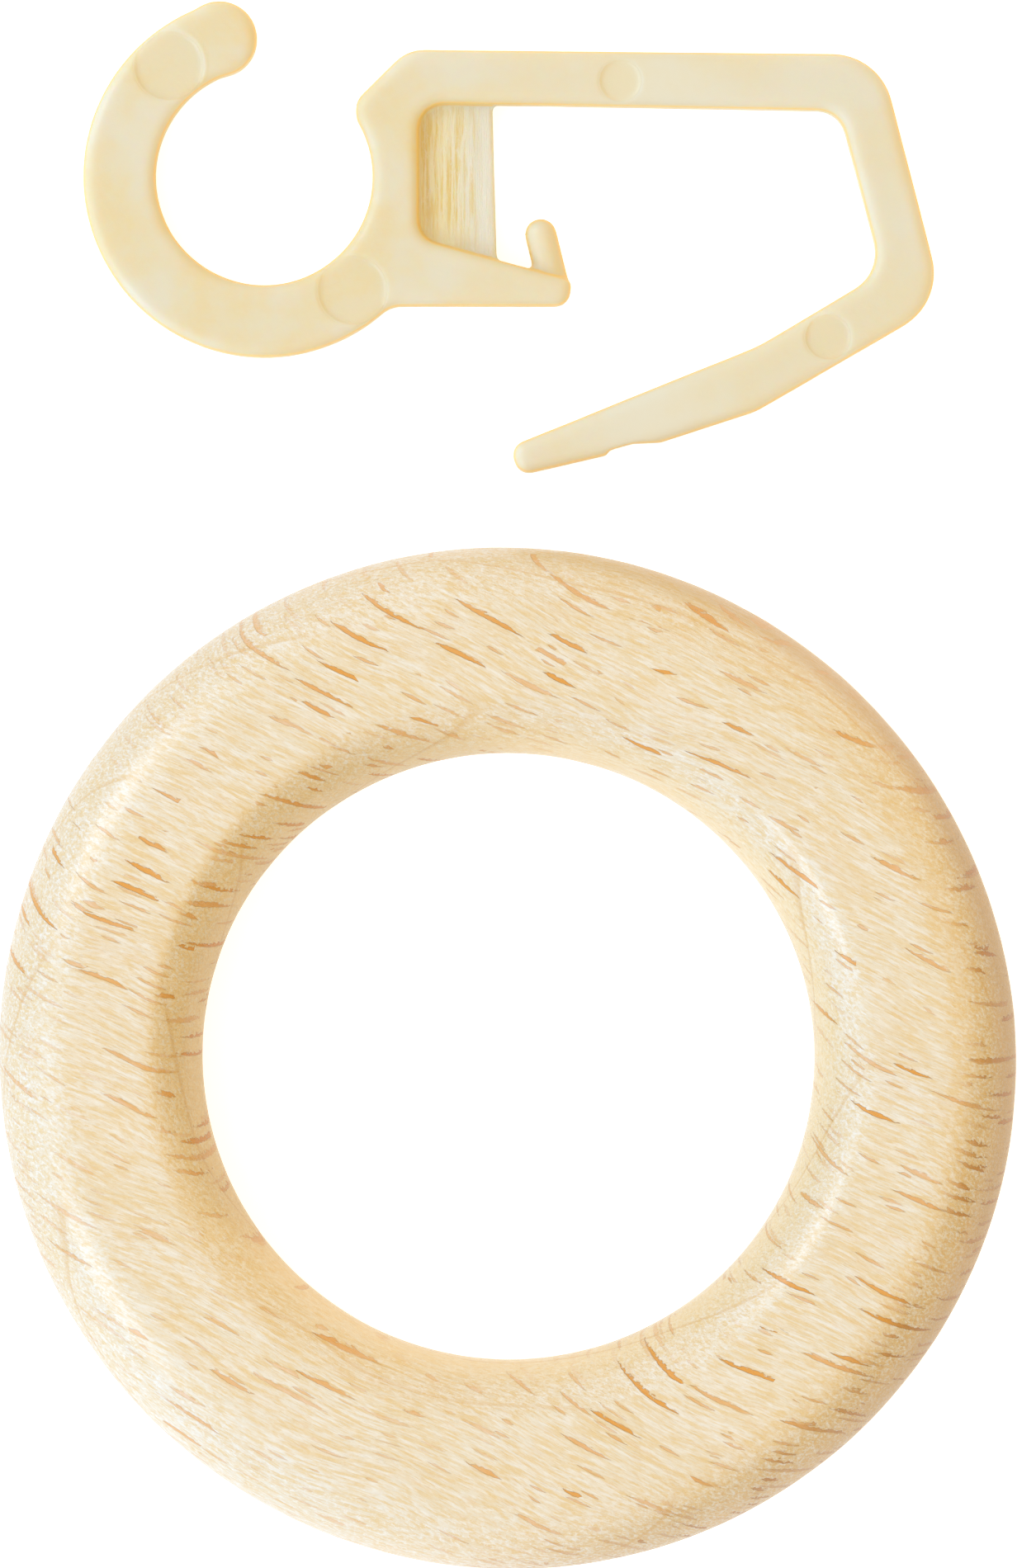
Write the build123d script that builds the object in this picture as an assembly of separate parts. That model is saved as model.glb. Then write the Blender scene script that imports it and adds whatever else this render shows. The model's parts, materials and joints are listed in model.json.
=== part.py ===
"""Wooden curtain ring with its moulded plastic curtain hook, lying loose beside it.

Frame: origin at the centre of the ring's bore, +Z up along the ring's axis, +Y towards the hook,
millimetres. The ring and the hook lie on one flat surface at z = -ring_thickness / 2.

The ring is turned from a planed beech board: its two faces keep a flat land, its four corners are
rounded over, and a narrow straight wall is left in the bore and round the rim.

The hook is one moulding. It flexes at two places, so it is cut there into three solids:
hook_frame, the eye's free jaw (ring_jaw) and the sprung pin arm (hook_arm).
"""

import math
import os

from build123d import *

# Ring
rim_radius = 30.0
bore_radius = 17.85
ring_thickness = 10.0
land_inner_radius = 21.2
land_outer_radius = 25.9
side_wall_height = 2.0
inner_round_over_rise = 0.85
outer_round_over_rise = 0.98
land_edge_fillet = 1.2

# Hook, in its own plan: origin at the eye's centre, x along the top bar
hook_thickness = 3.6
hook_x = -14.38
hook_y = 51.82
hook_edge_fillet = 0.7
eye_radius = 6.37
eye_rim_radius = 10.65
jaw_tip_angle = 108.0
jaw_tip_radius = 2.23
jaw_tip_centre_radius = 8.53
jaw_tip_fillet = 2.5
eye_end_angle = 335.0
ledge_bottom_y = -7.65
ledge_to_eye_fillet = 1.6
nub_fillet = 1.0

# Corners of the hook's outline clockwise from the nub beside the eye's mouth: x, y, corner radius
nub_and_top_bar = [
    (5.38, 4.47, 1.2),
    (8.42, 7.48, 2.4),
    (36.22, 7.20, 3.6),
]
arm_outside = [
    (40.0, -7.42, 3.6),
    (28.95, -13.83, 4.0),
    (23.14, -15.72, 0.3),
    (14.98, -17.60, 0.86),
]
arm_inside = [
    (14.45, -15.87, 0.86),
    (29.14, -9.93, 8.0),
    (36.36, -5.62, 2.5),
]
window_and_ledge = [
    (33.83, 3.86, 1.7),
    (9.09, 4.3, 1.5),
    (9.09, -3.62, 1.4),
    (18.10, -6.06, 0.5),
    (18.00, ledge_bottom_y, 0.95),
    (5.38, ledge_bottom_y, 0.0),
]

# Shallow notch in the arm's lower edge: x, y
arm_notch = [(23.2, -15.66), (21.7, -15.72), (20.24, -16.12), (20.14, -17.5), (23.2, -17.5)]

# Web across the window, and the catch finger on the ledge
web_thickness = 1.2
web_top_edge = (13.42, 5.0)
web_bottom_edge = (13.72, -5.6)
finger_radius = 0.95
finger_tip = (16.28, -3.38)
finger_root = (17.10, -6.70)

# Flexing sections
jaw_flex_angle = 250.0
arm_flex_pivot = (35.12, -0.90)
side_bar_lean = 14.7
flex_gap = 0.06

# Ejector-pin marks on the upper face: x, y, radius
ejector_marks = [
    (-5.6, 6.5, 2.0),
    (5.2, -6.7, 2.0),
    (20.95, 5.62, 1.2),
    (33.15, -9.45, 1.35),
]
ejector_mark_depth = 0.12

floor_z = -ring_thickness / 2
hook_mid_z = floor_z + hook_thickness / 2
hook_top_z = floor_z + hook_thickness
far = 60.0


def polar(radius, degrees):
    """A point of the hook's plan at a radius and angle about the eye's centre."""
    angle = math.radians(degrees)
    return (radius * math.cos(angle), radius * math.sin(angle))


def rounded_outline(corners):
    """A face whose straight sides meet at the corners, each rounded by its own radius."""
    points = [Vector(x, y) for x, y, _ in corners]
    starts, ends, mids = [], [], []
    for i, (point, corner) in enumerate(zip(points, corners)):
        radius = corner[2]
        to_last = (points[i - 1] - point).normalized()
        to_next = (points[(i + 1) % len(points)] - point).normalized()
        half = math.radians(to_last.get_angle(to_next)) / 2
        reach = radius / math.tan(half)
        inward = (to_last + to_next).normalized()
        starts.append(point + to_last * reach)
        ends.append(point + to_next * reach)
        mids.append(point + inward * (radius / math.sin(half) - radius))
    edges = []
    for i, corner in enumerate(corners):
        if corner[2] > 0:
            edges.append(ThreePointArc(starts[i], mids[i], ends[i]))
        edges.append(Line(ends[i], starts[(i + 1) % len(corners)]))
    return make_face(edges)


def eye_plan():
    """The eye's band from the ledge round to the jaw's tip, which is round and a little wider."""
    wedge_angles = [jaw_tip_angle, 145, 180, 215, 250, 285, eye_end_angle]
    wedge = make_face(Polyline((0, 0), *[polar(far, a) for a in wedge_angles], close=True))
    band = (Circle(eye_rim_radius) & wedge) - Circle(eye_radius)
    tip_x, tip_y = polar(jaw_tip_centre_radius, jaw_tip_angle)
    band = band + Pos(tip_x, tip_y) * Circle(jaw_tip_radius)
    creases = [
        band.vertices().sort_by_distance((*polar(radius, jaw_tip_angle + 4), 0))[0]
        for radius in (eye_radius, eye_rim_radius)
    ]
    return fillet(creases, jaw_tip_fillet)


def hook_plan():
    """The hook's outline seen from above, without the web and the finger."""
    loop = rounded_outline(nub_and_top_bar + arm_outside + arm_inside + window_and_ledge)
    plan = eye_plan() + (loop - Circle(eye_radius))
    nub_side = nub_and_top_bar[0][0]
    below_eye = plan.vertices().sort_by_distance((7.4, ledge_bottom_y, 0))[0]
    plan = fillet(below_eye, ledge_to_eye_fillet)
    nub = plan.vertices().sort_by_distance((nub_side, math.sqrt(eye_radius**2 - nub_side**2), 0))[0]
    return fillet(nub, nub_fillet)


def solid_from_plan(plan, thickness):
    """Extrudes a plan equally up and down from z = 0."""
    return extrude(plan, amount=thickness / 2, both=True)


def soften_edges(body):
    """Rounds the upper and lower edges of the moulding."""
    edges = [e for e in body.edges() if abs(abs(e.center().Z) - hook_thickness / 2) < 1e-6]
    return fillet(edges, hook_edge_fillet)


def web():
    """Thin recessed plate between the top bar and the ledge; its right side is free."""
    corners = [(8.0, 5.6), web_top_edge, web_bottom_edge, (8.0, -5.6)]
    return solid_from_plan(make_face(Polyline(*corners, close=True)), web_thickness)


def finger():
    """Round catch finger that leans back over the ledge."""
    lean = Vector(finger_tip[0] - finger_root[0], finger_tip[1] - finger_root[1], 0)
    axis = Plane(origin=(finger_root[0], finger_root[1], 0), z_dir=lean)
    bar = axis * Cylinder(finger_radius, lean.length, align=(Align.CENTER, Align.CENTER, Align.MIN))
    return bar + Pos(finger_tip[0], finger_tip[1], 0) * Sphere(finger_radius)


def moulding():
    """The whole hook as moulded, in its own plan and centred on z = 0."""
    body = soften_edges(solid_from_plan(hook_plan(), hook_thickness))
    body = body - solid_from_plan(make_face(Polyline(*arm_notch, close=True)), hook_thickness)
    body = body + web() + finger()
    for x, y, radius in ejector_marks:
        mark = Pos(x, y, hook_thickness / 2 - ejector_mark_depth)
        pin = Cylinder(radius, 1.0, align=(Align.CENTER, Align.CENTER, Align.MIN))
        body = body - mark * pin
    return body


def jaw_side(offset):
    """Everything on the jaw's side of the section where the eye flexes."""
    pivot_x, pivot_y = polar(eye_rim_radius, jaw_flex_angle)
    inward = Vector(*polar(1.0, jaw_flex_angle + 180))
    away = Vector(-inward.Y, inward.X)
    start = Vector(pivot_x, pivot_y) + away * offset
    corners = [
        start - inward * 3,
        start + inward * 8,
        Vector(-1.0, 3.0),
        Vector(2.2, 5.0),
        Vector(2.2, 14.0),
        Vector(-16.0, 14.0),
        Vector(-16.0, -14.0),
    ]
    return solid_from_plan(make_face(Polyline(*corners, close=True)), far)


def arm_side(offset):
    """Everything on the arm's side of the section where the side bar flexes."""
    lean = math.radians(side_bar_lean)
    along = Vector(math.sin(lean), -math.cos(lean))
    across = Vector(math.cos(lean), math.sin(lean))
    start = Vector(*arm_flex_pivot) + along * offset
    corners = [
        start + across * 7,
        start - across * 2,
        Vector(19.0, -9.5),
        Vector(10.0, -11.5),
        Vector(10.0, -20.0),
        Vector(45.0, -20.0),
    ]
    return solid_from_plan(make_face(Polyline(*corners, close=True)), far)


def wood_ring():
    """Turned ring: flat lands, rounded-over corners, a narrow straight wall in the bore and rim."""
    half = ring_thickness / 2
    wall = side_wall_height / 2
    profile = [
        Line((land_inner_radius, half), (land_outer_radius, half)),
        SagittaArc((land_outer_radius, half), (rim_radius, wall), outer_round_over_rise),
        Line((rim_radius, wall), (rim_radius, -wall)),
        SagittaArc((rim_radius, -wall), (land_outer_radius, -half), outer_round_over_rise),
        Line((land_outer_radius, -half), (land_inner_radius, -half)),
        SagittaArc((land_inner_radius, -half), (bore_radius, -wall), inner_round_over_rise),
        Line((bore_radius, -wall), (bore_radius, wall)),
        SagittaArc((bore_radius, wall), (land_inner_radius, half), inner_round_over_rise),
    ]
    section = Plane.XZ * make_face(profile)
    ring = revolve(section, Axis.Z)
    land_edges = [e for e in ring.edges() if abs(abs(e.center().Z) - half) < 1e-6]
    return fillet(land_edges, land_edge_fillet)


def main():
    os.makedirs("parts", exist_ok=True)
    whole = moulding()
    place = Pos(hook_x, hook_y, hook_mid_z)
    pieces = {
        "wood_ring": wood_ring(),
        "ring_jaw": place * (whole & jaw_side(flex_gap / 2)),
        "hook_arm": place * (whole & arm_side(flex_gap / 2)),
        "hook_frame": place * (whole - jaw_side(-flex_gap / 2) - arm_side(-flex_gap / 2)),
    }
    for name, piece in pieces.items():
        export_step(piece, f"parts/{name}.step")
        print(name, len(piece.solids()), round(piece.volume, 1))


main()
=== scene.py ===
"""Looks for the wooden curtain ring and its plastic clip hook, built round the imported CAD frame."""

import json
import math

import bpy
import numpy as np
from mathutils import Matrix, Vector, noise


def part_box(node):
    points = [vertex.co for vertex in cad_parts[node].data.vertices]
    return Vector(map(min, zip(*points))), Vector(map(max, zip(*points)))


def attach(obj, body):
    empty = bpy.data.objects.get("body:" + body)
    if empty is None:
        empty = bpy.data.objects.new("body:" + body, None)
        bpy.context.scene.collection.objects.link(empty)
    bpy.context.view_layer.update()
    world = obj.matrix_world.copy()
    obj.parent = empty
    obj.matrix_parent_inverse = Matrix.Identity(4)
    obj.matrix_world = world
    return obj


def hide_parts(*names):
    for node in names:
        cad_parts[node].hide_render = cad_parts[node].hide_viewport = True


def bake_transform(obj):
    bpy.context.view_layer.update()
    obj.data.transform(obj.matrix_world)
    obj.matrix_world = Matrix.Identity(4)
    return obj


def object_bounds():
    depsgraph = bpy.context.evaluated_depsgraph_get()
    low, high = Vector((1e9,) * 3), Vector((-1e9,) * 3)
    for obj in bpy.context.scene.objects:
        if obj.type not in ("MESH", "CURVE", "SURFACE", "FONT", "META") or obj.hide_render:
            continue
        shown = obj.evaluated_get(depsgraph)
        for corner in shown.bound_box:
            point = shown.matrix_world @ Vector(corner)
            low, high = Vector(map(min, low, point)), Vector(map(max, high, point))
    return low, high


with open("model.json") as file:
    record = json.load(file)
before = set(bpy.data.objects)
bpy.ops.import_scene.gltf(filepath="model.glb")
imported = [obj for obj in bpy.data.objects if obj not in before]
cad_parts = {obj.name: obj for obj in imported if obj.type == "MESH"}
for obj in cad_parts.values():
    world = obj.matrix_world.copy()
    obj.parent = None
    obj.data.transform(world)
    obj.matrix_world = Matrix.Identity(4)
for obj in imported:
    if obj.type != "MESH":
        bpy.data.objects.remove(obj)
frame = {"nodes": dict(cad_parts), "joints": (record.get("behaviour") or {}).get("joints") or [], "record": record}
cad_low, cad_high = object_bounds()
MM = 0.001

# Ring, millimetres
RING_LOW, RING_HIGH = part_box("wood_ring")
RIM = RING_HIGH.x / MM
HALF_THICK = RING_HIGH.z / MM
BORE = next(m for m in frame["record"]["mounts"] if m["name"] == "ring_bore")["dims"]["r_mm"]
LAND_INNER = 21.2
LAND_OUTER = 25.9
WALL_HALF = 1.0
RING_STEPS = 900
PROFILE_STEPS = 104

# Hook, millimetres, in its own plan with the origin at the eye's centre
EYE = Vector(next(m for m in frame["record"]["mounts"] if m["name"] == "hook_eye")["pos_m"]) / MM
HOOK_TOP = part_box("hook_frame")[1].z / MM - EYE.z
VOXEL = 0.13
CUT_GAP = 0.06
SIDE_BAR_LEAN = math.radians(14.7)
ARM_WAY = Vector((math.sin(SIDE_BAR_LEAN), -math.cos(SIDE_BAR_LEAN), 0))
SEAM_X = 23.3
TIP_CORNER = (11.0, -7.9)
WEB_X = (9.2, 13.75)
WEB_Y = (-5.5, 4.3)
WEB_TOP = 0.6
EJECTOR_MARKS = [(-5.6, 6.5, 2.05), (5.2, -6.7, 2.05), (20.95, 5.62, 1.25), (33.15, -9.45, 1.35)]

# Wood grain: the fibres run along GRAIN, the rays stand in a plane leaning by RAY_LEAN from upright
GRAIN_ANGLE = math.radians(-26)
RAY_LEAN = math.radians(20)
GRAIN = Vector((math.cos(GRAIN_ANGLE), math.sin(GRAIN_ANGLE), 0))
ACROSS = Vector((-math.sin(GRAIN_ANGLE), math.cos(GRAIN_ANGLE), 0))
UP = Vector((0, 0, 1))
RAY_NORMAL = ACROSS * math.cos(RAY_LEAN) + UP * math.sin(RAY_LEAN)
RAY_WAY = UP * math.cos(RAY_LEAN) - ACROSS * math.sin(RAY_LEAN)

# The side towards which the rim's steep slopes get painted shade, away from the lamps
RIM_SHADE_SIDE = Vector((math.cos(math.radians(15)), math.sin(math.radians(15)), 0))

# Stage: the direction the warm light comes from, the floor's half side in metres, the lamps
WARM_SIDE = math.radians(8)
HALF_FLOOR = 0.9
LAMPS = {"key_upper": (0.38, 1.3), "key_lower": (-0.38, 1.25)}


# ---------------------------------------------------------------- node helpers

class Nodes:
    """A material's node tree with short calls for the nodes used here."""

    def __init__(self, name):
        self.material = bpy.data.materials.new(name)
        self.material.use_nodes = True
        self.tree = self.material.node_tree
        self.shader = self.tree.nodes["Principled BSDF"]

    def link(self, source, socket):
        self.tree.links.new(source, socket)

    def feed(self, socket, value):
        if isinstance(value, bpy.types.NodeSocket):
            self.link(value, socket)
        else:
            socket.default_value = value

    def position(self):
        """Object coordinates in millimetres."""
        coordinates = self.tree.nodes.new("ShaderNodeTexCoord").outputs["Object"]
        return self.vector("SCALE", coordinates, scale=1 / MM)

    def normal(self):
        return self.tree.nodes.new("ShaderNodeNewGeometry").outputs["Normal"]

    def vector(self, operation, a, b=None, scale=None):
        node = self.tree.nodes.new("ShaderNodeVectorMath")
        node.operation = operation
        self.feed(node.inputs[0], a)
        if b is not None:
            self.feed(node.inputs[1], b)
        if scale is not None:
            self.feed(node.inputs["Scale"], scale)
        single = operation in ("DOT_PRODUCT", "LENGTH", "DISTANCE")
        return node.outputs["Value" if single else "Vector"]

    def math(self, operation, a, b=None, c=None, clamp=False):
        node = self.tree.nodes.new("ShaderNodeMath")
        node.operation = operation
        node.use_clamp = clamp
        for socket, value in zip(node.inputs, (a, b, c)):
            if value is not None:
                self.feed(socket, value)
        return node.outputs[0]

    def combine(self, x, y, z):
        node = self.tree.nodes.new("ShaderNodeCombineXYZ")
        for socket, value in zip(node.inputs, (x, y, z)):
            self.feed(socket, value)
        return node.outputs[0]

    def separate(self, vector):
        node = self.tree.nodes.new("ShaderNodeSeparateXYZ")
        self.link(vector, node.inputs[0])
        return node.outputs

    def noise(self, vector, scale=1.0, detail=2.0, roughness=0.5, distortion=0.0):
        node = self.tree.nodes.new("ShaderNodeTexNoise")
        self.link(vector, node.inputs["Vector"])
        node.inputs["Scale"].default_value = scale
        node.inputs["Detail"].default_value = detail
        node.inputs["Roughness"].default_value = roughness
        node.inputs["Distortion"].default_value = distortion
        return node.outputs["Fac"]

    def noise_colour(self, vector, scale):
        node = self.tree.nodes.new("ShaderNodeTexNoise")
        self.link(vector, node.inputs["Vector"])
        node.inputs["Scale"].default_value = scale
        node.inputs["Detail"].default_value = 1.0
        return node.outputs["Color"]

    def voronoi(self, vector):
        node = self.tree.nodes.new("ShaderNodeTexVoronoi")
        self.link(vector, node.inputs["Vector"])
        node.inputs["Scale"].default_value = 1.0
        return node.outputs

    def ramp(self, value, low, high, to_low=0.0, to_high=1.0):
        node = self.tree.nodes.new("ShaderNodeMapRange")
        node.interpolation_type = "SMOOTHSTEP"
        for name, v in (("Value", value), ("From Min", low), ("From Max", high),
                        ("To Min", to_low), ("To Max", to_high)):
            self.feed(node.inputs[name], v)
        return node.outputs["Result"]

    def mix(self, factor, a, b, blend="MIX"):
        node = self.tree.nodes.new("ShaderNodeMix")
        node.data_type = "RGBA"
        node.blend_type = blend
        self.feed(node.inputs[0], factor)
        for socket, value in ((node.inputs[6], a), (node.inputs[7], b)):
            self.feed(socket, value if isinstance(value, bpy.types.NodeSocket) else (*value, 1.0))
        return node.outputs[2]

    def bump(self, height, distance_mm, strength=1.0, after=None):
        node = self.tree.nodes.new("ShaderNodeBump")
        node.inputs["Strength"].default_value = strength
        node.inputs["Distance"].default_value = distance_mm * MM
        self.link(height, node.inputs["Height"])
        if after is not None:
            self.link(after, node.inputs["Normal"])
        return node.outputs["Normal"]

    def set(self, **values):
        for name, value in values.items():
            self.feed(self.shader.inputs[name.replace("_", " ")], value)


# ---------------------------------------------------------------- materials

def grain_frame(n, position):
    """Position along the fibres, across the rays and along the rays, gently wavy."""
    drift = n.vector("SUBTRACT", n.noise_colour(position, 0.09), (0.5, 0.5, 0.5))
    sway = n.vector("SCALE", drift, scale=1.8)
    bent = n.vector("ADD", position, sway)
    along = n.vector("DOT_PRODUCT", bent, tuple(GRAIN))
    across = n.vector("DOT_PRODUCT", bent, tuple(RAY_NORMAL))
    radial = n.vector("DOT_PRODUCT", bent, tuple(RAY_WAY))
    return along, across, radial


def ray_flecks(n, space, pitch, half, share, seed, ragged=0.5):
    """Spindle-shaped ends of the wood's rays: one in some of the cells of a stretched Voronoi grid."""
    pitch_along, pitch_across, _ = pitch
    half_along, half_across = half
    cell = n.combine(*(n.math("MULTIPLY_ADD", axis, 1 / size, seed * (k + 1))
                       for k, (axis, size) in enumerate(zip(space, pitch))))
    nearest = n.voronoi(cell)
    offset = n.separate(n.vector("SUBTRACT", cell, nearest["Position"]))
    chance, size, lean = n.separate(nearest["Color"])
    stretch = n.math("MULTIPLY_ADD", size, 0.75, 0.35)
    reach = n.math("DIVIDE", n.math("MULTIPLY", offset[0], pitch_along / half_along), stretch)
    drift = n.math("MULTIPLY", n.math("SUBTRACT", lean, 0.5), n.math("MULTIPLY", reach, 0.9))
    side = n.math("MULTIPLY_ADD", offset[1], pitch_across / half_across, drift)
    frayed = n.math("SUBTRACT", n.noise(stretched(n, space, 1.8, 5.0)), 0.5)
    side = n.math("MULTIPLY_ADD", frayed, 4 * ragged, side)
    shape = n.math("ADD", n.math("ABSOLUTE", side), n.math("MULTIPLY", reach, reach))
    shape = n.math("MULTIPLY_ADD", frayed, 2 * ragged, shape)
    spindle = n.ramp(shape, 1.1, 0.7)
    strength = n.ramp(chance, 1 - share, 1 - share * 0.4, 0.5, 1.0)
    chosen = n.math("GREATER_THAN", chance, 1 - share)
    return n.math("MULTIPLY", spindle, n.math("MULTIPLY", strength, chosen))


def stretched(n, space, along, across):
    """The wood's own coordinates scaled for a streaky texture."""
    return n.combine(n.math("MULTIPLY", space[0], along), n.math("MULTIPLY", space[1], across),
                     n.math("MULTIPLY", space[2], across))


def wood():
    """Pale steamed beech under a thin satin varnish."""
    n = Nodes("beech")
    position = n.position()
    space = grain_frame(n, position)
    upright = n.math("ABSOLUTE", n.vector("DOT_PRODUCT", n.normal(), (0, 0, 1)))
    along_grain = n.vector("DOT_PRODUCT", n.normal(), tuple(GRAIN))
    # End grain is darker and more golden than the face grain; its extra strength on faces turned along the grain,
    # away from the lamps, is painted shade
    shaded_end_grain = n.ramp(along_grain, 0.12, 0.70)
    lit_end_grain = n.ramp(along_grain, -0.18, -0.85, 0.0, 0.45)
    end_grain_and_shade = n.math("ADD", shaded_end_grain, lit_end_grain)

    strong = ray_flecks(n, space, (5.6, 1.8, 8.0), (2.2, 0.13), 0.52, 3.1)
    middling = ray_flecks(n, space, (3.0, 0.9, 5.0), (1.1, 0.08), 0.45, 11.7)
    short = ray_flecks(n, space, (2.6, 0.85, 3.4), (1.2, 0.105), 0.55, 5.3, 1.0)
    crowding = n.ramp(n.noise(position, 0.06, 1.0), 0.38, 0.60, 0.6, 1.0)
    fleck = n.math("MAXIMUM", strong, n.math("MULTIPLY", middling, 0.6))
    fleck = n.math("MULTIPLY", fleck, crowding)
    fleck = n.math("MAXIMUM", fleck, n.math("MULTIPLY", short, n.ramp(end_grain_and_shade, 0.0, 1.0, 0.08, 1.0)))

    fibres = n.noise(stretched(n, space, 0.5, 4.6), 1.0, 4.0, 0.65)
    strands = n.noise(stretched(n, space, 0.25, 1.9), 1.0, 3.0, 0.6)
    bands = n.noise(stretched(n, space, 0.07, 0.4), 1.0, 2.0, 0.5)
    hairs = n.noise(stretched(n, space, 0.9, 9.5), 1.0, 2.0, 0.6)
    fuzz = n.noise(stretched(n, space, 3.0, 6.0), 1.0, 4.0, 0.75)
    sheen = n.noise(stretched(n, space, 0.6, 5.2), 1.0, 3.0, 0.6)

    ring_sway = n.noise(position, 0.07, 1.0)
    ring_phase = n.math("FRACT", n.math("MULTIPLY_ADD", ring_sway, 0.8, n.math("DIVIDE", space[2], 4.1)))
    late_wood = n.ramp(ring_phase, 0.45, 1.0, 0.0, 0.3)
    ring_line = n.math("MULTIPLY", n.ramp(ring_phase, 0.93, 0.98), n.ramp(ring_phase, 1.0, 0.985))
    ring_line = n.math("MULTIPLY", ring_line, n.ramp(upright, 0.97, 0.75, 0.06, 0.45))

    colour = n.mix(n.ramp(bands, 0.3, 0.7), (0.86, 0.745, 0.515), (0.89, 0.80, 0.615))
    colour = n.mix(late_wood, colour, (0.85, 0.67, 0.39))
    colour = n.mix(n.ramp(strands, 0.36, 0.58, 0.45, 0.0), colour, (0.86, 0.65, 0.33))
    x, y, _ = n.separate(position)
    on_rim = n.ramp(n.vector("LENGTH", n.combine(x, y, 0.0)), LAND_INNER, LAND_OUTER)
    # The end-grain tone is darker on the rim than in the bore: painted shade on the rim's outer slopes
    end_colour = n.mix(on_rim, (0.95, 0.66, 0.24), (0.80, 0.535, 0.19))
    colour = n.mix(n.math("MULTIPLY", end_grain_and_shade, n.ramp(on_rim, 0.0, 1.0, 0.72, 0.85)), colour, end_colour)
    colour = n.mix(n.ramp(fibres, 0.38, 0.55, 0.82, 0.0), colour, (0.84, 0.60, 0.25))
    colour = n.mix(n.ramp(hairs, 0.50, 0.38, 0.0, 0.6), colour, (0.84, 0.62, 0.29))
    rough_cut = n.ramp(upright, 0.98, 0.80, 0.15, 0.8)
    # Lighter streaks along the fibres: painted sheen
    colour = n.mix(n.ramp(sheen, 0.50, 0.64, 0.0, 0.55), colour, (0.94, 0.88, 0.73))
    colour = n.mix(n.math("MULTIPLY", n.ramp(fuzz, 0.51, 0.64), rough_cut), colour, (0.94, 0.88, 0.75))
    # Dark torn pits on the end grain, painted stronger on the side away from the lamps and on the rim as shade
    torn_pits_and_shade = n.math("MULTIPLY", n.ramp(fuzz, 0.49, 0.38), n.ramp(end_grain_and_shade, 0.0, 1.0, 0.1, 0.75))
    colour = n.mix(n.math("MULTIPLY", torn_pits_and_shade, n.ramp(on_rim, 0.0, 1.0, 0.45, 1.0)), colour, (0.80, 0.48, 0.14))
    # Painted shade: the rim's steep slopes turn deep golden brown where they face the side away from the lamps
    steep_rim = n.math("MULTIPLY", on_rim, n.ramp(upright, 0.80, 0.42, 0.0, 0.75))
    facing_shade_side = n.vector("DOT_PRODUCT", n.normal(), tuple(RIM_SHADE_SIDE))
    painted_rim_shade = n.math("MULTIPLY", steep_rim, n.ramp(facing_shade_side, 0.0, 0.75))
    colour = n.mix(painted_rim_shade, colour, (0.63, 0.375, 0.08))
    # Painted bounce light: the bore's steep walls are tinted a warmer, brighter golden
    painted_bore_bounce = n.math("MULTIPLY", n.math("SUBTRACT", 1.0, on_rim), n.ramp(upright, 0.92, 0.25, 0.0, 0.6))
    colour = n.mix(painted_bore_bounce, colour, (1.0, 0.74, 0.31))
    colour = n.mix(ring_line, colour, (0.77, 0.46, 0.13))
    # Flecks turn darker on the rim's end grain facing away from the lamps: painted shade
    shaded_rim_grain = n.math("MULTIPLY", on_rim, shaded_end_grain)
    fleck_colour = n.mix(n.math("MULTIPLY", shaded_rim_grain, 0.7), (0.81, 0.345, 0.025), (0.50, 0.21, 0.02))
    colour = n.mix(fleck, colour, fleck_colour)

    height = n.math("ADD", n.math("MULTIPLY", fibres, 0.7), n.math("MULTIPLY", hairs, 0.4))
    height = n.math("MULTIPLY_ADD", fuzz, n.ramp(end_grain_and_shade, 0.0, 1.0, 0.3, 1.7), height)
    height = n.math("SUBTRACT", height, n.math("MULTIPLY", fleck, 0.6))
    roughness = n.ramp(fibres, 0.3, 0.7, 0.50, 0.36)
    n.set(Base_Color=colour, Roughness=roughness, Normal=n.bump(height, 0.11))
    n.shader.inputs["Coat Weight"].default_value = 1.0
    n.shader.inputs["Coat Roughness"].default_value = 0.27
    return n.material


def mark_edges(n, position):
    """A height that steps down crisply inside each round ejector mark."""
    x, y, _ = n.separate(n.vector("SUBTRACT", position, tuple(EYE)))
    total = 0.0
    for mark_x, mark_y, radius in EJECTOR_MARKS:
        offset = n.combine(n.math("SUBTRACT", x, mark_x), n.math("SUBTRACT", y, mark_y), 0.0)
        total = n.math("ADD", total, n.ramp(n.vector("LENGTH", offset), radius + 0.05, radius - 0.05))
    facing_up = n.math("GREATER_THAN", n.separate(n.normal())[2], 0.5)
    return n.math("MULTIPLY", total, facing_up)


def hook_plastic():
    """Cream moulded plastic with a satin skin, clouded with amber, with a painted golden glow on its steep side
    walls.
    """
    n = Nodes("cream_plastic")
    position = n.position()
    upright = n.math("ABSOLUTE", n.vector("DOT_PRODUCT", n.normal(), (0, 0, 1)))
    cloud = n.noise(position, 0.17, 3.0, 0.55)
    speckle = n.noise(position, 1.7, 4.0, 0.6)
    peel = n.noise(position, 2.4, 3.0, 0.55)
    marks = mark_edges(n, position)
    from_eye = n.vector("DISTANCE", position, tuple(EYE))
    amber = n.ramp(from_eye, 9.0, 19.0, 1.0, 0.5)
    amber = n.math("MULTIPLY", amber, n.ramp(cloud, 0.36, 0.60))
    amber = n.math("MULTIPLY", amber, n.ramp(speckle, 0.30, 0.65, 0.7, 1.0))
    amber = n.math("MAXIMUM", amber, n.math("MULTIPLY", marks, 0.6))
    colour = n.mix(amber, (0.80, 0.735, 0.53), (0.82, 0.69, 0.385))
    # Painted glow: steep side walls tinted golden for light passing through and bouncing between the plastic's
    # walls
    painted_edge_glow = n.math("MULTIPLY", n.ramp(upright, 0.72, 0.32), n.ramp(upright, 0.0, 0.22, 0.35, 1.0))
    colour = n.mix(painted_edge_glow, colour, (0.93, 0.66, 0.22))
    skin = n.bump(peel, 0.014)
    n.set(Base_Color=colour, Roughness=n.ramp(peel, 0.3, 0.7, 0.34, 0.44),
          Normal=n.bump(marks, 0.018, after=skin))
    finish_plastic(n)
    return n.material


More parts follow.
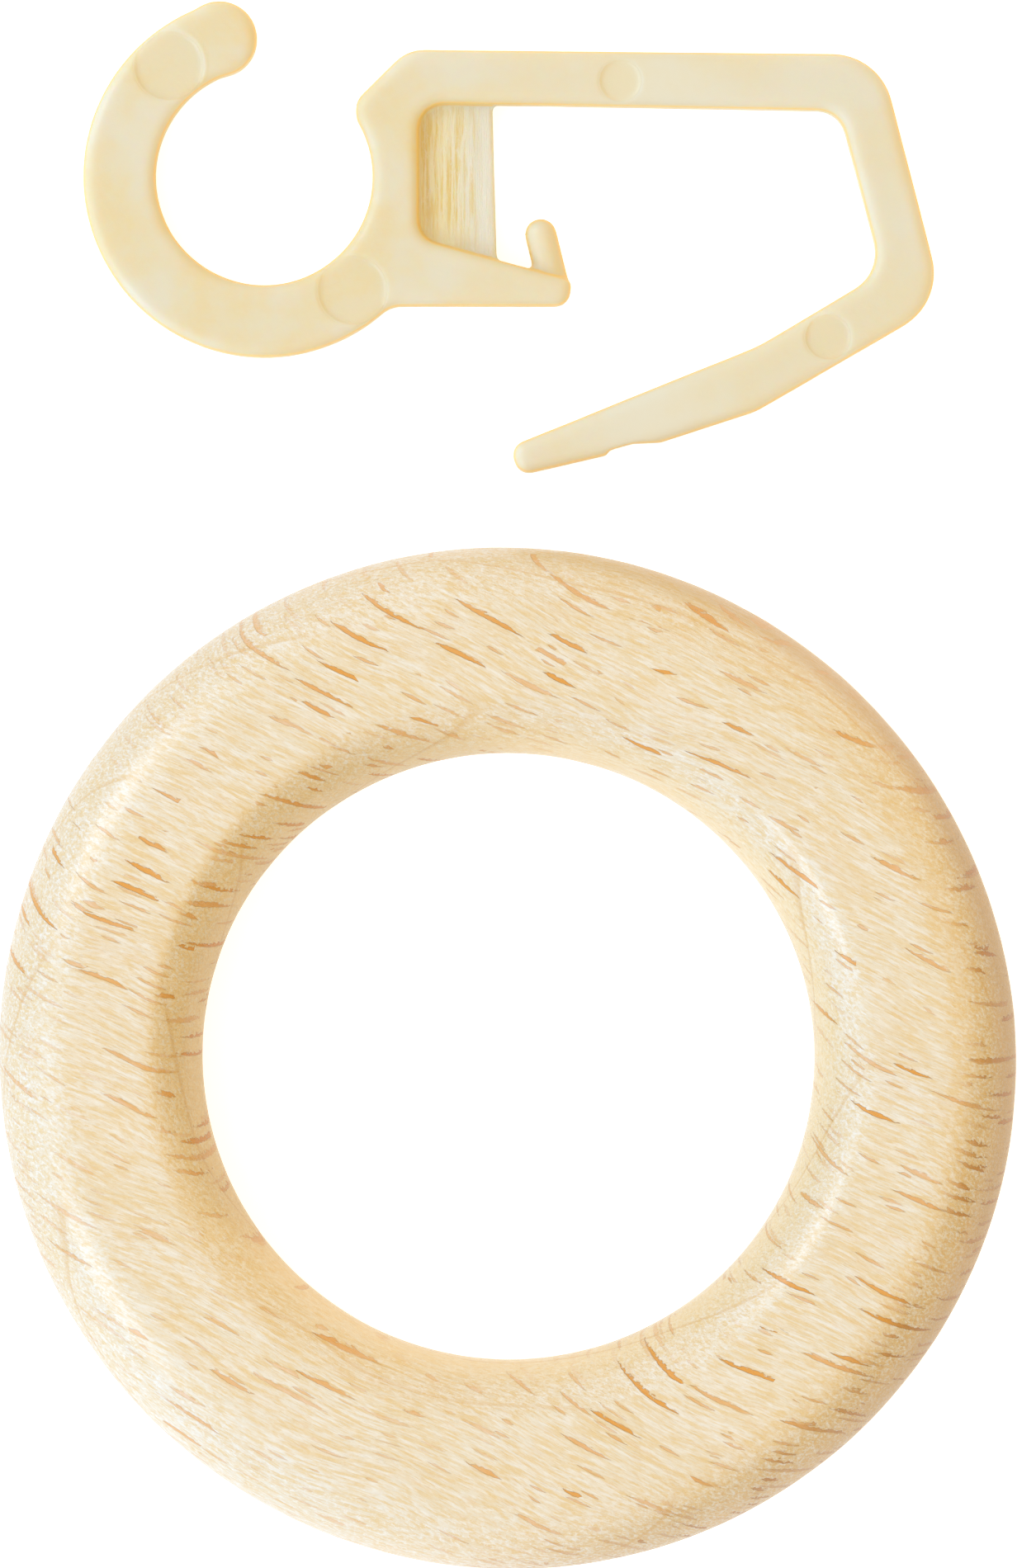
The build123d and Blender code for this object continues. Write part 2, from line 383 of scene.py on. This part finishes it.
def web_plastic():
    """The same plastic where the mould was left with upright tooling streaks."""
    n = Nodes("streaked_plastic")
    x, y, z = n.separate(n.vector("SUBTRACT", n.position(), tuple(EYE)))
    drawn_out = n.combine(n.math("MULTIPLY", x, 4.6), n.math("MULTIPLY", y, 0.3), z)
    streaks = n.noise(drawn_out, 1.0, 5.0, 0.65, 0.3)
    scuffs = n.noise(n.combine(n.math("MULTIPLY", x, 5.0), n.math("MULTIPLY", y, 1.5), z), 1.0, 4.0, 0.7)
    middle = n.ramp(n.math("ABSOLUTE", n.math("SUBTRACT", y, 0.4)), 2.2, 4.2, 1.0, 0.35)
    inner_part = n.math("MULTIPLY", middle, n.ramp(x, 13.2, 11.6))
    depth = n.math("MULTIPLY", n.ramp(streaks, 0.57, 0.38, 0.0, 0.85), inner_part)
    colour = n.mix(n.ramp(x, 10.0, 13.2), (0.85, 0.765, 0.46), (0.80, 0.765, 0.60))
    colour = n.mix(depth, colour, (0.79, 0.60, 0.19))
    colour = n.mix(n.ramp(scuffs, 0.53, 0.70, 0.0, 0.5), colour, (0.87, 0.82, 0.66))
    height = n.math("MULTIPLY_ADD", streaks, 1.5, scuffs)
    n.set(Base_Color=colour, Roughness=n.ramp(streaks, 0.3, 0.7, 0.5, 0.36), Normal=n.bump(height, 0.05))
    finish_plastic(n)
    return n.material


def finish_plastic(n):
    """Light spreads a little under the skin, except close to the seam between the hook's two meshes."""
    x, _, _ = n.separate(n.vector("SUBTRACT", n.position(), tuple(EYE)))
    from_seam = n.math("ABSOLUTE", n.math("SUBTRACT", x, SEAM_X))
    n.set(Subsurface_Weight=n.ramp(from_seam, 0.8, 6.0, 0.0, 0.55))
    n.shader.inputs["Subsurface Radius"].default_value = (1.0, 0.62, 0.28)
    n.shader.inputs["Subsurface Scale"].default_value = 0.9 * MM
    n.shader.inputs["Specular IOR Level"].default_value = 0.5


# ---------------------------------------------------------------- mesh helpers

def new_mesh_object(name, points_mm, faces):
    mesh = bpy.data.meshes.new(name)
    mesh.from_pydata((np.asarray(points_mm) * MM).tolist(), [], faces)
    mesh.update()
    obj = bpy.data.objects.new(name, mesh)
    bpy.context.scene.collection.objects.link(obj)
    return obj


def points_of(mesh):
    co = np.empty(len(mesh.vertices) * 3, np.float32)
    mesh.vertices.foreach_get("co", co)
    return co.reshape(-1, 3).astype(float)


def set_points(mesh, points):
    mesh.vertices.foreach_set("co", points.astype(np.float32).ravel())
    mesh.update()


def normals_of(mesh):
    no = np.empty(len(mesh.vertices) * 3, np.float32)
    mesh.vertex_normals.foreach_get("vector", no)
    return no.reshape(-1, 3).astype(float)


def ripple(points, size_mm, seed=0.0):
    """Smooth noise from -1 to 1 at each point, with bumps about size_mm across."""
    return np.array([noise.noise(Vector(p) / size_mm + Vector((seed, seed, seed))) for p in points])


def relax(mesh, rounds, strength=0.5):
    """Moves each vertex towards the mean of its neighbours."""
    edges = np.empty(len(mesh.edges) * 2, np.int32)
    mesh.edges.foreach_get("vertices", edges)
    a, b = edges.reshape(-1, 2).T
    points = points_of(mesh)
    count = np.bincount(a, minlength=len(points)) + np.bincount(b, minlength=len(points))
    for _ in range(rounds):
        mean = np.empty_like(points)
        for k in range(3):
            total = np.bincount(a, points[b, k], len(points)) + np.bincount(b, points[a, k], len(points))
            mean[:, k] = total / count
        points += (mean - points) * strength
    set_points(mesh, points)


def smooth_step(value, low, high):
    t = np.clip((value - low) / (high - low), 0, 1)
    return t * t * (3 - 2 * t)


# ---------------------------------------------------------------- ring

def bezier(start, control, end, count):
    t = np.linspace(0, 1, count, endpoint=False)[:, None]
    start, control, end = map(np.array, (start, control, end))
    return (1 - t) ** 2 * start + 2 * t * (1 - t) * control + t * t * end


def bulged(start, end, rise, count):
    """An arc from start to end that rises by rise to the left of its chord."""
    chord = np.array(end) - np.array(start)
    left = np.array([-chord[1], chord[0]]) / np.hypot(*chord)
    return bezier(start, (np.array(start) + np.array(end)) / 2 + left * 2 * rise, end, count)


def ring_profile():
    """The ring's section as evenly spaced (radius, height) points, anticlockwise, with eased corners."""
    outer = bulged((RIM, WALL_HALF), (LAND_OUTER, HALF_THICK), -0.88, 60)
    inner = bulged((LAND_INNER, HALF_THICK), (BORE, WALL_HALF), -0.66, 60)
    land = np.linspace((LAND_OUTER, HALF_THICK), (LAND_INNER, HALF_THICK), 60, endpoint=False)
    upper = np.vstack([outer, land, inner, [[BORE, WALL_HALF]]])
    lower = upper[::-1] * (1, -1)
    loop = np.vstack([upper, lower, upper[:1]])
    steps = np.hypot(*np.diff(loop, axis=0).T)
    travel = np.concatenate([[0], np.cumsum(steps)])
    fine = 8 * PROFILE_STEPS
    wanted = np.linspace(0, travel[-1], fine, endpoint=False)
    even = np.array([np.interp(wanted, travel, loop[:, k]) for k in range(2)]).T
    reach = 0.3 / (travel[-1] / fine)
    offsets = np.arange(-3 * round(reach), 3 * round(reach) + 1)
    weights = np.exp(-0.5 * (offsets / reach) ** 2)
    eased = sum(w * np.roll(even, k, axis=0) for w, k in zip(weights, offsets)) / weights.sum()
    return eased[:: 8]


def build_ring():
    """A dense turned ring, a little oval from seasoning, with faint sanding waves."""
    profile = ring_profile()
    turn = np.linspace(0, 2 * math.pi, RING_STEPS, endpoint=False)
    share = ((profile[:, 0] - BORE) / (RIM - BORE))[None, :]
    oval_rim = -0.07 + 0.18 * np.cos(2 * (turn + math.radians(57)))
    oval_bore = 0.09 * np.cos(2 * (turn + math.radians(12)))
    radius = profile[None, :, 0] + share * oval_rim[:, None] + (1 - share) * oval_bore[:, None]
    shift = (-0.05 * share, -0.01 * share + 0.09 * (1 - share))
    points = np.stack([radius * np.cos(turn)[:, None] + shift[0],
                       radius * np.sin(turn)[:, None] + shift[1],
                       np.broadcast_to(profile[None, :, 1], radius.shape)], axis=-1).reshape(-1, 3)
    n_around, n_profile = radius.shape
    i, j = np.meshgrid(np.arange(n_around), np.arange(n_profile), indexing="ij")
    i2, j2 = (i + 1) % n_around, (j + 1) % n_profile
    quads = np.stack([i * n_profile + j, i2 * n_profile + j, i2 * n_profile + j2, i * n_profile + j2], -1)
    ring = new_mesh_object("beech_ring", points, quads.reshape(-1, 4).tolist())
    normals = normals_of(ring.data)
    wave = 0.02 * ripple(points, 5.0) + 0.008 * ripple(points, 1.4, 7.0) - 0.028
    set_points(ring.data, (points + normals * wave[:, None]) * MM)
    ring.data.polygons.foreach_set("use_smooth", np.ones(len(ring.data.polygons), bool))
    ring.data.materials.append(wood())
    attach(ring, "ring")
    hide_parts("wood_ring")
    return ring


# ---------------------------------------------------------------- hook

def joint_pivot(name):
    joint = next(j for j in frame["joints"] if j["name"] == name)
    return np.array(joint["pos_m"]) / MM - np.array(EYE)


def joined_hook():
    """One mesh of the hook's three CAD solids, in its own plan, with the cut faces pushed over the gaps."""
    arm_pivot = joint_pivot("arm_flex")
    jaw_pivot = joint_pivot("jaw_flex")
    arm_way = np.array(ARM_WAY)
    jaw_inward = -jaw_pivot / np.hypot(*jaw_pivot[:2])
    jaw_way = np.array([-jaw_inward[1], jaw_inward[0], 0])
    cuts = {"hook_arm": (arm_pivot, arm_way), "ring_jaw": (jaw_pivot, jaw_way)}
    points, faces = [], []
    for node in ("hook_frame", "ring_jaw", "hook_arm"):
        mesh = frame["nodes"][node].data
        co = points_of(mesh) / MM - np.array(EYE)
        if node in cuts:
            pivot, way = cuts[node]
            depth = (co - pivot) @ way
            near = np.hypot(*(co - pivot)[:, :2].T) < 6
            co[near & (np.abs(depth - CUT_GAP / 2) < 0.02)] -= way * CUT_GAP * 1.5
        start = sum(len(p) for p in points)
        points.append(co)
        faces += [[v + start for v in polygon.vertices] for polygon in mesh.polygons]
    mesh = bpy.data.meshes.new("hook_joined")
    mesh.from_pydata(np.vstack(points).tolist(), [], faces)
    mesh.update()
    return mesh


def remeshed(mesh):
    """The mesh rebuilt as one even skin."""
    obj = bpy.data.objects.new("remesh_source", mesh)
    bpy.context.scene.collection.objects.link(obj)
    modifier = obj.modifiers.new("voxels", "REMESH")
    modifier.mode = "VOXEL"
    modifier.voxel_size = VOXEL
    depsgraph = bpy.context.evaluated_depsgraph_get()
    skin = bpy.data.meshes.new_from_object(obj.evaluated_get(depsgraph), depsgraph=depsgraph)
    bpy.data.objects.remove(obj)
    return skin


def press_ejector_marks(points, normals):
    """Sinks the round ejector marks into the upper face, with faint uneven rims and one raised rim."""
    top = (points[:, 2] > HOOK_TOP - 0.35) & (normals[:, 2] > 0.8)
    for index, (x, y, radius) in enumerate(EJECTOR_MARKS):
        dx, dy = points[:, 0] - x, points[:, 1] - y
        reach = np.hypot(dx, dy)
        mark = top & (reach < radius + 1.2)
        angle = np.arctan2(dy[mark], dx[mark])
        circle = np.stack([np.cos(angle) * 2.2, np.sin(angle) * 2.2, np.full(len(angle), index * 5.0)], -1)
        around = np.array([noise.noise(Vector(place)) for place in circle])
        sunk = 0.05 * smooth_step(reach[mark], radius + 0.06, radius - 0.10)
        ragged = 0.05 * smooth_step(np.cos(angle - 0.1), 0.2, 0.9) if index == 0 else 0.0
        rim = (0.012 * around + ragged) * np.exp(-((reach[mark] - radius - 0.12) / 0.10) ** 2)
        points[mark, 2] += rim.clip(0) - sunk


def streak_web(points, normals):
    """Upright tooling marks on the web's two faces."""
    inside = (points[:, 0] > WEB_X[0]) & (points[:, 0] < WEB_X[1] - 0.2)
    inside &= (points[:, 1] > WEB_Y[0]) & (points[:, 1] < WEB_Y[1]) & (np.abs(points[:, 2]) < WEB_TOP + 0.1)
    web = inside & (np.abs(normals[:, 2]) > 0.8)
    rows = [noise.fractal(Vector((p[0] * 3.2, p[1] * 0.3, p[2] * 3)), 0.6, 2.0, 4) for p in points[web]]
    fade = smooth_step(points[web, 0], WEB_X[1] - 0.2, WEB_X[1] - 1.6)
    points[web, 2] += fade * np.sign(normals[web, 2]) * np.clip(np.array(rows) * 0.05 - 0.03, -0.12, 0.02)


def hook_skin():
    """The hook's moulded skin with its surface marks, in its own plan, millimetres."""
    mesh = remeshed(joined_hook())
    relax(mesh, 6)
    points, normals = points_of(mesh), normals_of(mesh)
    points += normals * (0.012 * ripple(points, 2.6, 3.0) - 0.012)[:, None]
    press_ejector_marks(points, normals)
    streak_web(points, normals)
    set_points(mesh, points)
    return mesh


def take_side(mesh, name, keep_left):
    """A copy of the part of the hook's skin on one side of the seam in the top bar."""
    points = points_of(mesh)
    count = len(mesh.polygons)
    starts = np.empty(count, np.int32)
    totals = np.empty(count, np.int32)
    corners = np.empty(len(mesh.loops), np.int32)
    mesh.polygons.foreach_get("loop_start", starts)
    mesh.polygons.foreach_get("loop_total", totals)
    mesh.loops.foreach_get("vertex_index", corners)
    quads = corners[starts[:, None] + np.arange(4)]
    middle = points[quads].mean(1)
    on_tip = (middle[:, 0] > TIP_CORNER[0]) & (middle[:, 1] < TIP_CORNER[1])
    left = (middle[:, 0] < SEAM_X) & ~on_tip
    chosen = quads[left == keep_left]
    used, index = np.unique(chosen, return_inverse=True)
    obj = new_mesh_object(name, points[used] + np.array(EYE), index.reshape(-1, 4).tolist())
    obj.data.polygons.foreach_set("use_smooth", np.ones(len(chosen), bool))
    whole_normals = normals_of(mesh)[used]
    obj.data.normals_split_custom_set_from_vertices(whole_normals.tolist())
    return obj


def paint_web(obj):
    """Gives the web's faces their streaked material."""
    mesh = obj.data
    centres = np.array([p.center for p in mesh.polygons]) / MM - np.array(EYE)
    web = (centres[:, 0] > WEB_X[0]) & (centres[:, 0] < WEB_X[1]) & (np.abs(centres[:, 2]) < WEB_TOP + 0.1)
    web &= (centres[:, 1] > WEB_Y[0]) & (centres[:, 1] < WEB_Y[1])
    mesh.polygons.foreach_set("material_index", web.astype(np.int32))
    mesh.update()


def build_hook():
    skin = hook_skin()
    plastic, streaked = hook_plastic(), web_plastic()
    eye_side = take_side(skin, "hook_eye_side", True)
    arm_side = take_side(skin, "hook_arm_side", False)
    for obj in (eye_side, arm_side):
        obj.data.materials.append(plastic)
    eye_side.data.materials.append(streaked)
    paint_web(eye_side)

    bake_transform(eye_side)
    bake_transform(arm_side)
    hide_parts("hook_frame", "ring_jaw")
    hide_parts("hook_arm")


# ---------------------------------------------------------------- stage

def area_light(name, place, target, size, watts, colour=(1, 1, 1)):
    light = bpy.data.lights.new(name, "AREA")
    light.shape = "DISK"
    light.size = size
    light.energy = watts
    light.color = colour
    obj = bpy.data.objects.new(name, light)
    obj.location = place
    obj.rotation_euler = (Vector(target) - Vector(place)).to_track_quat("-Z", "Y").to_euler()
    bpy.context.scene.collection.objects.link(obj)
    return obj


def build_surround():
    """A pale tent, cooler on the left and warmer towards WARM_SIDE, and plain white to the camera."""
    world = bpy.data.worlds.new("surround")
    bpy.context.scene.world = world
    world.use_nodes = True
    tree = world.node_tree
    facing = tree.nodes.new("ShaderNodeVectorMath")
    facing.operation = "DOT_PRODUCT"
    facing.inputs[1].default_value = (math.cos(WARM_SIDE), math.sin(WARM_SIDE), 0)
    tree.links.new(tree.nodes.new("ShaderNodeTexCoord").outputs["Generated"], facing.inputs[0])
    fade = tree.nodes.new("ShaderNodeMapRange")
    fade.inputs["From Min"].default_value = -0.9
    fade.inputs["From Max"].default_value = 0.9
    tree.links.new(facing.outputs["Value"], fade.inputs["Value"])
    sides = tree.nodes.new("ShaderNodeMix")
    sides.data_type = "RGBA"
    sides.inputs[6].default_value = (0.80, 1.04, 1.50, 1)
    sides.inputs[7].default_value = (1.0, 0.71, 0.26, 1)
    tree.links.new(fade.outputs["Result"], sides.inputs[0])
    shown = tree.nodes.new("ShaderNodeMix")
    shown.data_type = "RGBA"
    shown.inputs[7].default_value = (1, 1, 1, 1)
    tree.links.new(tree.nodes.new("ShaderNodeLightPath").outputs["Is Camera Ray"], shown.inputs[0])
    tree.links.new(sides.outputs[2], shown.inputs[6])
    tree.links.new(shown.outputs[2], tree.nodes["Background"].inputs["Color"])


def build_stage():
    """Pale floor, the surround, two soft lamps on the left, and the camera overhead."""
    scene = bpy.context.scene
    centre = (cad_low + cad_high) / 2
    floor_z = cad_low.z / MM
    half = HALF_FLOOR / MM
    corners = [(x * half, y * half, floor_z) for x, y in ((-1, -1), (1, -1), (1, 1), (-1, 1))]
    floor = new_mesh_object("floor", corners, [[0, 1, 2, 3]])
    n = Nodes("pale_floor")
    n.set(Base_Color=(0.93, 0.92, 0.90, 1.0), Roughness=0.8)
    n.shader.inputs["Emission Color"].default_value = (1, 1, 1, 1)
    seen = n.tree.nodes.new("ShaderNodeLightPath").outputs["Is Camera Ray"]
    n.set(Emission_Strength=n.math("MULTIPLY_ADD", seen, 0.42, 0.22))
    n.shader.inputs["Specular IOR Level"].default_value = 0.1
    floor.data.materials.append(n.material)

    build_surround()
    for name, (side, watts) in LAMPS.items():
        area_light(name, (-0.65, side, 0.55), centre, 0.35, watts, (0.85, 1.0, 1.2))

    camera = bpy.data.cameras.new("camera")
    camera.lens = 400
    height = (cad_high.y - cad_low.y) * 0.999
    distance = height * camera.lens / camera.sensor_width
    obj = bpy.data.objects.new("camera", camera)
    obj.location = (centre.x, centre.y, centre.z + distance)
    scene.collection.objects.link(obj)
    scene.camera = obj
    scene.view_settings.view_transform = "Standard"


build_stage()
build_ring()
build_hook()
